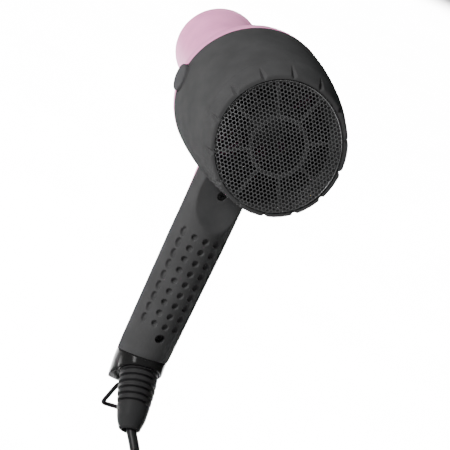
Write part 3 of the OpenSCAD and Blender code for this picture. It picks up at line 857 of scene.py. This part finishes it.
# (height, radius) of the handle, seen from the side.
handle_outline = [(-110 * mm, 14.4 * mm), (-92 * mm, 15.8 * mm), (-76 * mm, 17.6 * mm),
                  (-60 * mm, 18.4 * mm), (25 * mm, 19.5 * mm), (90 * mm, 19.5 * mm)]
grip_r = 19 * mm
handle_edge = 0.45 * mm
end_inset = 0.25 * mm
split_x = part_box("handle_cover")[1][0] + gap / 2
base_seam = Vector((-19.5 * mm, 0, -60.5 * mm))
base_slope = math.tan(math.radians(18.2))
dimple_rows = 9
dimple_pitch = 8.45 * mm
dimple_middle_z = -1 * mm
dimple_columns = [math.radians(a) for a in (-52, -24.5, 0, 24.5, 52)]
dimple_r = 2.35 * mm
# The outer columns of dimples are taller than they are wide.
tall_dimple_r = 3.5 * mm
tall_from = math.radians(40)
dimple_deep = 1.9 * mm
# More than 1 gives each dimple a flat floor.
dimple_fullness = 1.25
scoop_centre = Vector((-48 * mm, 0, 66 * mm))
scoop_r = 38.2 * mm
scoop_soft = 1.2 * mm
handle_top_guess = 78 * mm


def dimple_depth(turn, z, radius):
    """How deep the nearest grip dimple is at a place on the back of the handle."""
    middle = (dimple_rows - 1) / 2
    row = clamp(round((z - dimple_middle_z) / dimple_pitch + middle), 0, dimple_rows - 1)
    centre_z = dimple_middle_z + (row - middle) * dimple_pitch
    nearest = min(dimple_columns, key=lambda column: abs(column - turn))
    tall = tall_dimple_r if abs(nearest) > tall_from else dimple_r
    away = math.hypot((turn - nearest) * radius / dimple_r, (z - centre_z) / tall)
    return dimple_deep * clamp(dimple_fullness * (1 - away ** 4))


def scooped(x, z, inset=0.0):
    """x of the back of the handle where the thumb hollow has cut into it."""
    square = (scoop_r - inset) ** 2 - (z - scoop_centre.z) ** 2
    if square <= 0:
        return x
    return smooth_max(x, scoop_centre.x + math.sqrt(square) + 2 * inset, scoop_soft)


def handle_top(point_at, clearance):
    """The height where a line up the handle meets the barrel."""
    z = handle_top_guess
    for _ in range(settling_rounds):
        x, y = point_at(z)
        z = axis_z - math.sqrt((outer_r(x) + clearance) ** 2 - y * y)
    return z


def base_height(x):
    """The height of the slanted seam above the base cap."""
    return base_seam.z - (x - base_seam.x) * base_slope


def handle_heights(low, high):
    """Rows up the handle: fine where the dimples are and wider elsewhere."""
    fine_low, fine_high = -38 * mm, 36 * mm
    below, above = spread(low, fine_low, 14), spread(fine_high, high, 34)
    return below[:-1] + spread(fine_low, fine_high, 180) + above[1:]


def handle_columns(limit, count):
    """(turn, inset) for each column across one half of the handle, with both edges rounded."""
    border = [(limit - dx / grip_r, inset) for dx, inset in round_edge(handle_edge)]
    middle = limit - 1.2 * handle_edge / grip_r
    plain = [(turn, 0) for turn in spread(-middle, middle, count)]
    return [(-turn, inset) for turn, inset in border] + plain + border[::-1]


def back_point(turn, z, inset, dimpled):
    """A point of the back of the handle; turn 0 is straight back."""
    radius = along(handle_outline, z) - inset
    deep = dimple_depth(turn, z, radius) if dimpled else 0
    x = -(radius - deep) * math.cos(turn)
    y = (radius - deep) * math.sin(turn)
    if abs(turn) < math.pi / 2:
        x = scooped(x, z, inset)
    return x, y


def back_shell():
    """The charcoal back of the handle, with its grip dimples and thumb hollow."""
    limit = math.acos(-(split_x - gap / 2) / along(handle_outline, 0))
    outer, inner = [], []
    for rows, depth in ((outer, 0), (inner, wall)):
        for turn, inset in handle_columns(limit, 190):
            low = base_height(-along(handle_outline, base_seam.z) * math.cos(turn))
            high = handle_top(lambda z: back_point(turn, z, depth + inset, False), gap)
            heights = handle_heights(low, high)
            line = []
            for z in heights:
                rim = end_inset if z in (heights[0], heights[-1]) and rows is outer else 0
                x, y = back_point(turn, z, depth + inset + rim, rows is outer)
                line.append(Vector((x, y, z)))
            rows.append(line)
    shape = Shape()
    shape.shell(outer, inner)
    return build("back_shell", shape, charcoal, 50)


# The two screw recesses: (x of the seat, height).
screw_seats = [(-6.5 * mm, 64 * mm), (-13 * mm, -44 * mm)]
well_r = 3.4 * mm
well_wall = 1.3 * mm
shank_r = 1.9 * mm
seat_thick = 2.5 * mm
well_sunk = 0.8 * mm
behind_handle_x = -30 * mm


def screw_wells(obj):
    """Cuts the two screw recesses, and lines each with its tube and seat."""
    bores = [cylinder((behind_handle_x, 0, z), (seat, 0, z), well_r, 48) for seat, z in screw_seats]
    cut(obj, *bores, angle=50)
    for number, (seat, z) in enumerate(screw_seats):
        mouth = scooped(-along(handle_outline, z), z) - seat + well_sunk
        outer = well_r + well_wall
        profile = [(well_r, mouth), (well_r, 0), (shank_r, 0), (shank_r, seat_thick), (outer, seat_thick),
                   (outer, mouth)]
        shape = lathe(profile, axis_frame((seat, 0, z), (1, 0, 0)), 48)
        place(build(f"screw_well_{number}", shape, charcoal), "shell", "soft_charcoal")


brow_start, brow_tall, brow_proud = 34 * mm, 42 * mm, 13 * mm
# How the brow comes in up the handle, and how it fades towards the handle's sides.
brow_rise_power, brow_side_power = 1.7, 0.8


def front_point(turn, z, inset):
    """A point of the front of the handle; turn 0 is straight ahead. It swells to a brow at the top."""
    radius = along(handle_outline, z) - inset
    limit = math.acos(split_x / along(handle_outline, z))
    share = clamp((math.cos(turn) - math.cos(limit)) / (1 - math.cos(limit)))
    brow = brow_proud * clamp((z - brow_start) / brow_tall) ** brow_rise_power
    return radius * math.cos(turn) + brow * share ** brow_side_power, radius * math.sin(turn)


def spine_shell():
    """The pink front of the handle, up to the brow under the front housing."""
    limit = math.acos(split_x / along(handle_outline, 0))
    into_barrel = 0.8 * mm
    fine_low = 20 * mm
    outer, inner = [], []
    for rows, depth in ((outer, 0), (inner, wall)):
        for turn, inset in handle_columns(limit, 72):
            low = base_height(along(handle_outline, base_seam.z) * math.cos(turn))
            high = handle_top(lambda z: front_point(turn, z, depth + inset), -into_barrel)
            heights = spread(low, fine_low, 30)[:-1] + spread(fine_low, high, 50)
            rows.append([Vector((*front_point(turn, z, depth + inset), z)) for z in heights])
    shape = Shape()
    shape.shell(outer, inner)
    return build("spine_shell", shape, pink, 50)


window_side, window_rise = 0.5 * mm, 0.9 * mm
window_behind, window_ahead = 8 * mm, 20 * mm
pin_reach = 8.1 * mm
pin_r = 0.85 * mm


def rocker_windows():
    """The two openings that the rockers show through."""
    windows = []
    for node in ("speed_rocker", "heat_rocker"):
        low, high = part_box(node)
        windows.append(block((low[0] - window_behind, low[1] - window_side, low[2] - window_rise),
                             (high[0] + window_ahead, high[1] + window_side, high[2] + window_rise)))
    return windows


def pin_bores():
    """The bores in the spine's two sides that carry the pins of the rockers."""
    bores = []
    for name in ("speed_rock", "heat_rock"):
        x, _, z = joint[name]["pos_m"]
        bores.append(cylinder((x, -pin_reach, z), (x, pin_reach, z), pin_r, 24))
    return bores


# Base ------------------------------------------------------------------------------------------

relief_base = Vector((-7.9 * mm, 0, -73.3 * mm))
relief_way = Vector((-1, 0, -1)).normalized()
relief_len = 46 * mm
# (distance, radius) along the strain relief.
relief_outline = [(0, 13 * mm), (9 * mm, 13.4 * mm), (18 * mm, 12.8 * mm), (27 * mm, 11.7 * mm),
                  (39 * mm, 9.7 * mm), (relief_len, 6.9 * mm)]
outline_soft = 2 * mm
groove_count = 6
groove_pitch = 4.4 * mm
groove_start = 5.1 * mm
groove_half = 1.05 * mm
groove_deep = 2.3 * mm
tip_len = 1 * mm


def relief_r(distance):
    """Outside radius of the strain relief, with its bending grooves."""
    shifts = (-outline_soft, 0, outline_soft)
    smooth_r = sum(along(relief_outline, distance + shift) for shift in shifts) / len(shifts)
    deep = 0
    for i in range(groove_count):
        away = abs(distance - (groove_start + i * groove_pitch)) / groove_half
        deep = max(deep, groove_deep * clamp(1 - away ** 5))
    return smooth_r - deep


def strain_relief():
    """The ribbed rubber sleeve that the lead leaves through, hollow at its tip."""
    bore_r = cord_d / 2 + 0.1 * mm
    # (radius, distance back from the tip) round the rim of the tip and down its hollow.
    tip = [(6.4 * mm, 0.4 * mm), (5.9 * mm, 0), (5.5 * mm, 0.2 * mm), (5.2 * mm, 0.9 * mm),
           (5.0 * mm, 12 * mm), (bore_r, 13 * mm)]
    profile = [(relief_r(d), d) for d in spread(0, relief_len - tip_len, 200)]
    profile += [(radius, relief_len - back) for radius, back in tip]
    profile.append((bore_r, 0))
    shape = lathe(profile, axis_frame(relief_base, relief_way), 72)
    return build("ribbed_relief", shape, relief_rubber, 50)


loop_pivot = Vector(joint["loop_swing"]["pos_m"])
loop_wire_r = 1.6 * mm
loop_bend = 2.6 * mm
# Half the gap between the wire's two ends, and half the loop's width at its top and bottom.
loop_gap_y, loop_top_y, loop_bottom_y = 0.6 * mm, 4.6 * mm, 9.8 * mm


def wire_loop():
    """The hanging loop: one bent wire with round corners."""
    drop = loop_pivot.z - mount["hanging_loop"]["pos_m"][2]
    half = [(loop_gap_y, 0), (loop_top_y, 0), (loop_bottom_y, -drop)]
    offsets = half + [(-y, z) for y, z in reversed(half)]
    corners = [loop_pivot + Vector((0, y, z)) for y, z in offsets]
    return build("wire_loop", tube(rounded_path(corners, loop_bend), loop_wire_r), gloss_black)


# Controls --------------------------------------------------------------------------------------

button_rise = 1.5 * mm
button_edge = 1.1 * mm
stem_r = 1.5 * mm
stem_y, skirt_y = 40 * mm, 44 * mm


def domed_button():
    """The round side button: a shallow dome with a soft edge on a straight skirt, and a stem."""
    placing = axis_frame((button_x, 0, axis_z), (0, 1, 0))
    side = button_top - button_rise
    flat_r = button_r - button_edge
    tip_r = 0.05 * mm
    profile = [(stem_r, stem_y), (stem_r, skirt_y), (button_r, skirt_y), (button_r, side - button_edge)]
    profile += [(button_r - inset, side - dx) for dx, inset in reversed(round_edge(button_edge))]
    profile += [(r, side + button_rise * (1 - (r / flat_r) ** 2)) for r in spread(flat_r, tip_r, 14)[1:]]
    shape = lathe(profile, placing, 96, close=False)
    shape.disc(circle(placing, tip_r, button_top, 96))
    shape.disc(circle(placing, stem_r, stem_y, 96))
    return build("domed_button", shape, button_grey)


# Putting it together ---------------------------------------------------------------------------


def dress_frame():
    """Materials for the CAD nodes that show as they are."""
    finishes = {
        support_grey: ["mesh_support"],
        black_steel: ["housing_screws", "motor_shaft", "motor_can"],
        inner_black: ["fan_guard", "button_guide", "micro_switch", "cord_clamp"],
        fan_grey: ["fan_impeller", "fan_duct"],
        steel: ["thermostat", "button_spring", "clamp_screws"],
        mica: ["heater_boards", "mica_sleeve"],
        wire_metal: ["heater_coils"],
        brass: ["thermal_fuse"],
        black_metal: ["outlet_grille"],
        switch_white: ["switch_block"],
        board_green: ["circuit_board"],
        lead_brown: ["internal_leads"],
        nickel: ["plug_pins"],
    }
    for material, names in finishes.items():
        for name in names:
            for slot in nodes[name].material_slots:
                slot.material = material


dress_frame()

rear = rear_shell()
cut(rear, button_hole())
place(rear, "shell", "soft_charcoal", "rear_housing")

nozzle = nozzle_part()
cut(nozzle, button_hole())
place(nozzle, "shell", "satin_pink", "front_housing")

spine = spine_shell()
cut(spine, *rocker_windows(), *pin_bores(), angle=50)
place(spine, "shell", "satin_pink", "front_housing")

place(collar_shell(), "cover", "soft_charcoal", "intake_collar")
place(screen_mesh(), "cover", "black_metal", "intake_mesh")

handle_back = back_shell()
screw_wells(handle_back)
place(handle_back, "shell", "soft_charcoal", "handle_cover")

place(moulded("base_cap", "glossy_cap", 0.4 * mm, 40, gloss_black), "shell", "gloss_black", "base_cap")
place(strain_relief(), "shell", "relief_rubber", "strain_relief")
place(wire_loop(), "loop", "gloss_black", "hanging_loop")
place(domed_button(), "button", "button_grey", "side_button")
for rocker, body in (("speed_rocker", "speed_key"), ("heat_rocker", "heat_key")):
    place(moulded(rocker, rocker + "_cap", 0.3 * mm, 5, gloss_black), body, "gloss_black", rocker)

# Light and floor -------------------------------------------------------------------------------

light_target = Vector((0, 0, 0.05))
# (name, place, width, power) of the soft round lights.
lamps = [("key", (-0.6, 1.55, 0.9), 0.5, 80), ("fill", (-1.0, -0.9, 1.6), 1.0, 5),
         ("sheen", (-1.15, -0.02, 0.27), 0.25, 1.0), ("front", (1.6, -0.4, 1.0), 1.2, 6)]
surround_strength = 0.15
floor_half = 12
floor_drop = 2 * mm
# The light over the stretch of floor that the camera sees behind the object.
panel_place = (1.97, -0.72, 0.7)
panel_size = (3.8, 1.7)
panel_power = 365
panel_beam = math.radians(24)


def add_light(name, position, width, power):
    """A soft round light aimed at the object."""
    data = bpy.data.lights.new(name, "AREA")
    data.shape = "DISK"
    data.size = width
    data.energy = power
    light = bpy.data.objects.new(name, data)
    light.location = position
    light.rotation_euler = (light_target - light.location).to_track_quat("-Z", "Y").to_euler()
    bpy.context.collection.objects.link(light)


def add_backdrop_light():
    """A long panel over the stretch of floor behind the object, whose narrow beam misses the object."""
    data = bpy.data.lights.new("backdrop", "AREA")
    data.shape = "RECTANGLE"
    data.size, data.size_y = panel_size
    data.energy = panel_power
    data.spread = panel_beam
    light = bpy.data.objects.new("backdrop", data)
    light.location = panel_place
    light.rotation_euler.z = camera_azimuth - math.radians(270)
    bpy.context.collection.objects.link(light)


def make_studio():
    """A pale floor under the object, a pale surround and the lights."""
    floor_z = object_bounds()[0][2] - floor_drop
    corners = [(x * floor_half, y * floor_half, floor_z) for x, y in ((-1, -1), (1, -1), (1, 1), (-1, 1))]
    mesh = bpy.data.meshes.new("floor")
    mesh.from_pydata(corners, [], [(0, 1, 2, 3)])
    mesh.materials.append(floor_material())
    floor = bpy.data.objects.new("floor", mesh)
    bpy.context.collection.objects.link(floor)
    world = bpy.data.worlds.new("surround")
    world.use_nodes = True
    background = world.node_tree.nodes["Background"]
    background.inputs["Color"].default_value = (1, 1, 1, 1)
    background.inputs["Strength"].default_value = surround_strength
    bpy.context.scene.world = world
    for lamp in lamps:
        add_light(*lamp)
    add_backdrop_light()


make_studio()
